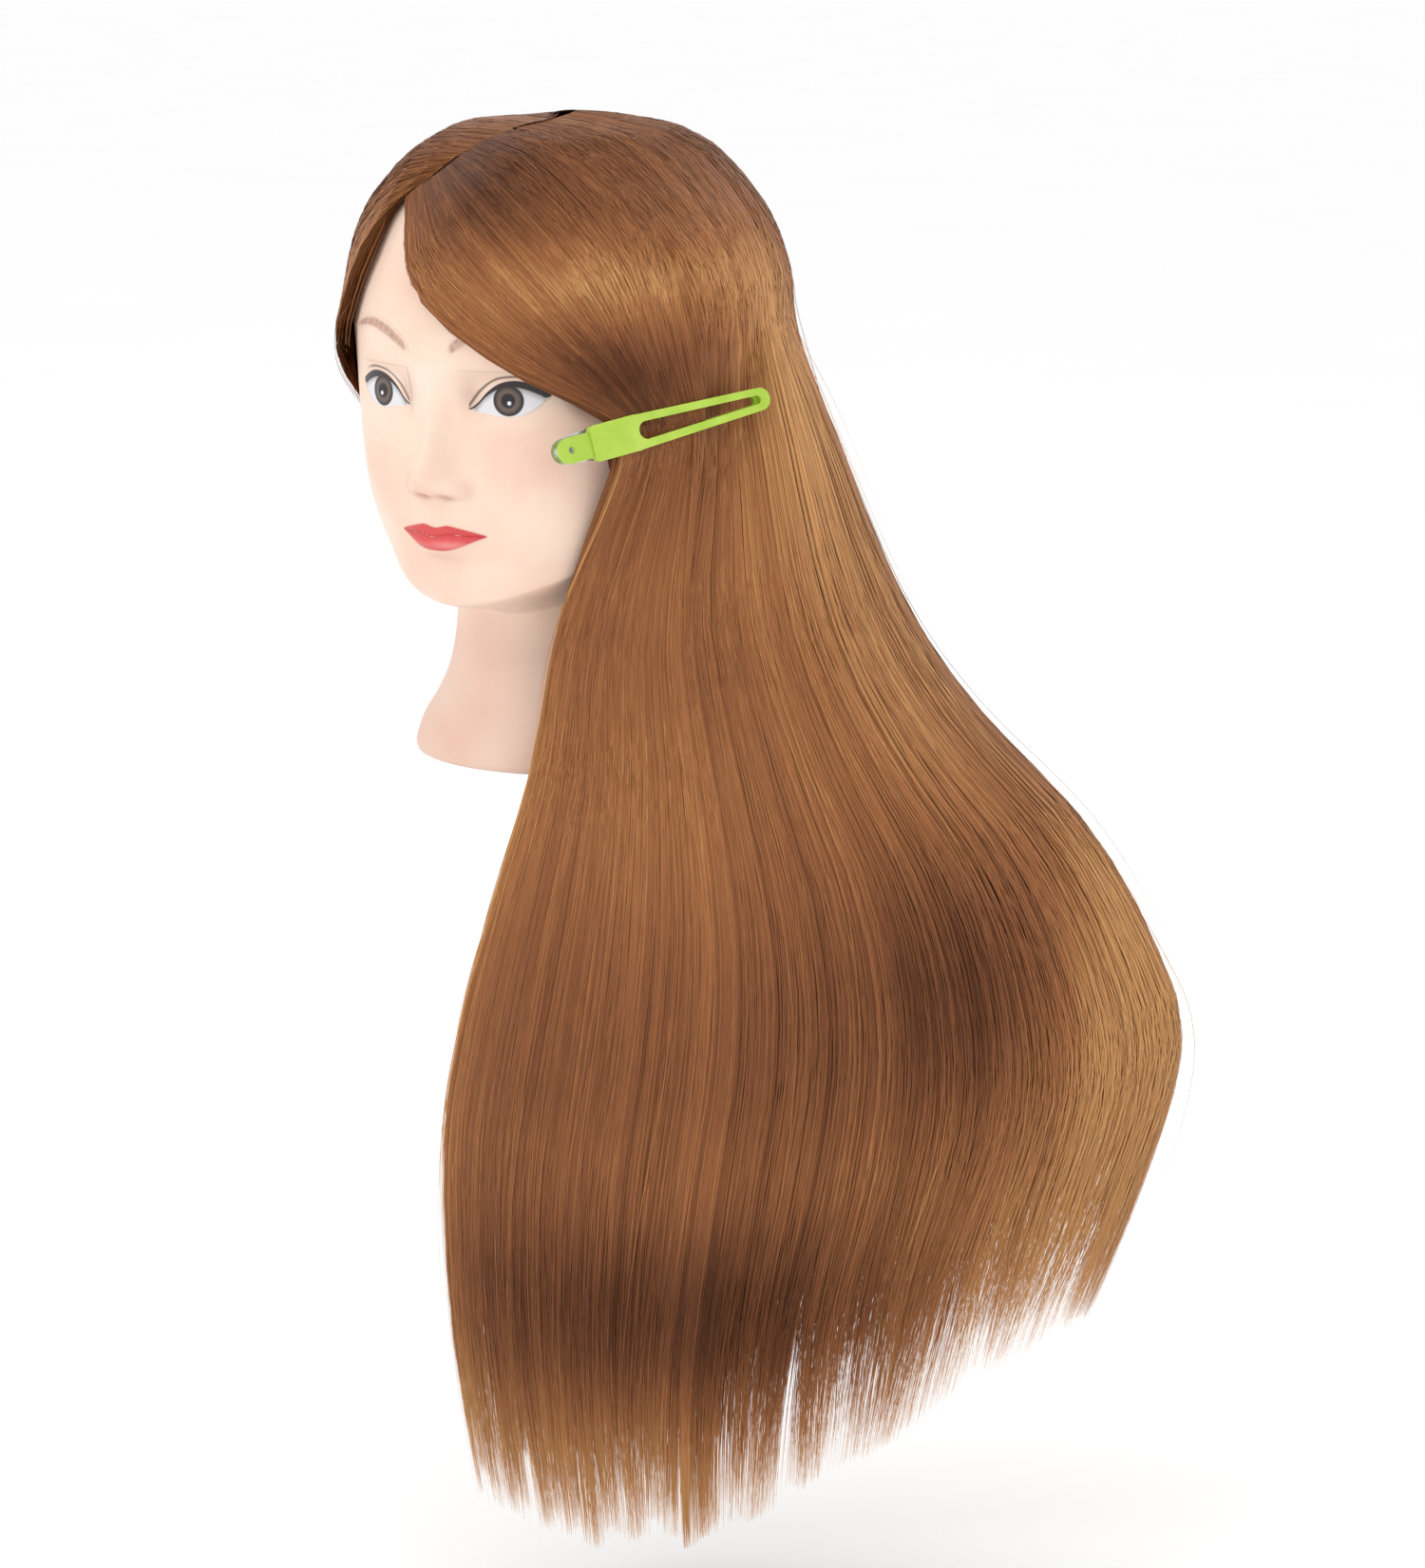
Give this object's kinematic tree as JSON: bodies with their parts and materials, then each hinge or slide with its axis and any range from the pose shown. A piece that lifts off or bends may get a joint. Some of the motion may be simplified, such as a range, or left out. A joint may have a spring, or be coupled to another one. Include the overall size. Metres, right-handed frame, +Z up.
{
  "type": "mannequin training head",
  "caption": "Life-size mannequin head with long rooted straight hair parted at the side, a spring sectioning clip and a clamp socket in the neck.",
  "frame": {"origin": "on the axis of the clamp socket, where it opens through the flat underside of the neck", "axes": "+Z up, the face looks along -Y, the head's left side is +X"},
  "size_m": [0.2826, 0.2398, 0.5631],
  "materials": {
    "skin": "matt soft vinyl, painted face",
    "foam": "rigid foam",
    "socket_plastic": "matt",
    "hair": "satin, fine lengthwise strands",
    "lime_plastic": "gloss",
    "bright_steel": "polished"
  },
  "bodies": {
    "head": {"head_skin": "skin", "foam_core": "foam", "clamp_socket": "socket_plastic", "fringe_front": "hair", "fringe_middle": "hair", "fringe_rear": "hair", "temple_left": "hair", "side_left_front": "hair", "side_left_rear": "hair", "top_left": "hair", "crown_left": "hair", "crown_rear_left": "hair", "back_left": "hair", "back_middle": "hair", "back_right": "hair", "crown_rear_right": "hair", "crown_right": "hair", "side_right": "hair", "temple_right": "hair"},
    "clip_lower": {"clip_lower_jaw": "lime_plastic", "clip_lower_lever": "bright_steel", "clip_hinge_pin": "bright_steel", "clip_spring": "bright_steel"},
    "clip_upper": {"clip_upper_jaw": "lime_plastic", "clip_upper_lever": "lime_plastic", "clip_upper_bracket": "bright_steel", "clip_spring_leg": "bright_steel"}
  },
  "joints": [
    {"name": "clip_slide_off", "type": "slide", "parent": "head", "child": "clip_lower", "axis": [-0.3764, -0.9132, -0.1564], "range_m": [0, 0.07]},
    {"name": "clip_open", "type": "hinge", "parent": "clip_lower", "child": "clip_upper", "pos_m": [0.06514, -0.0731, 0.13092], "axis": [0.2505, 0.0622, -0.9661], "range_deg": [0, 25], "stiffness_Nm_per_rad": 0.04, "springref_deg": -34.38}
  ]
}
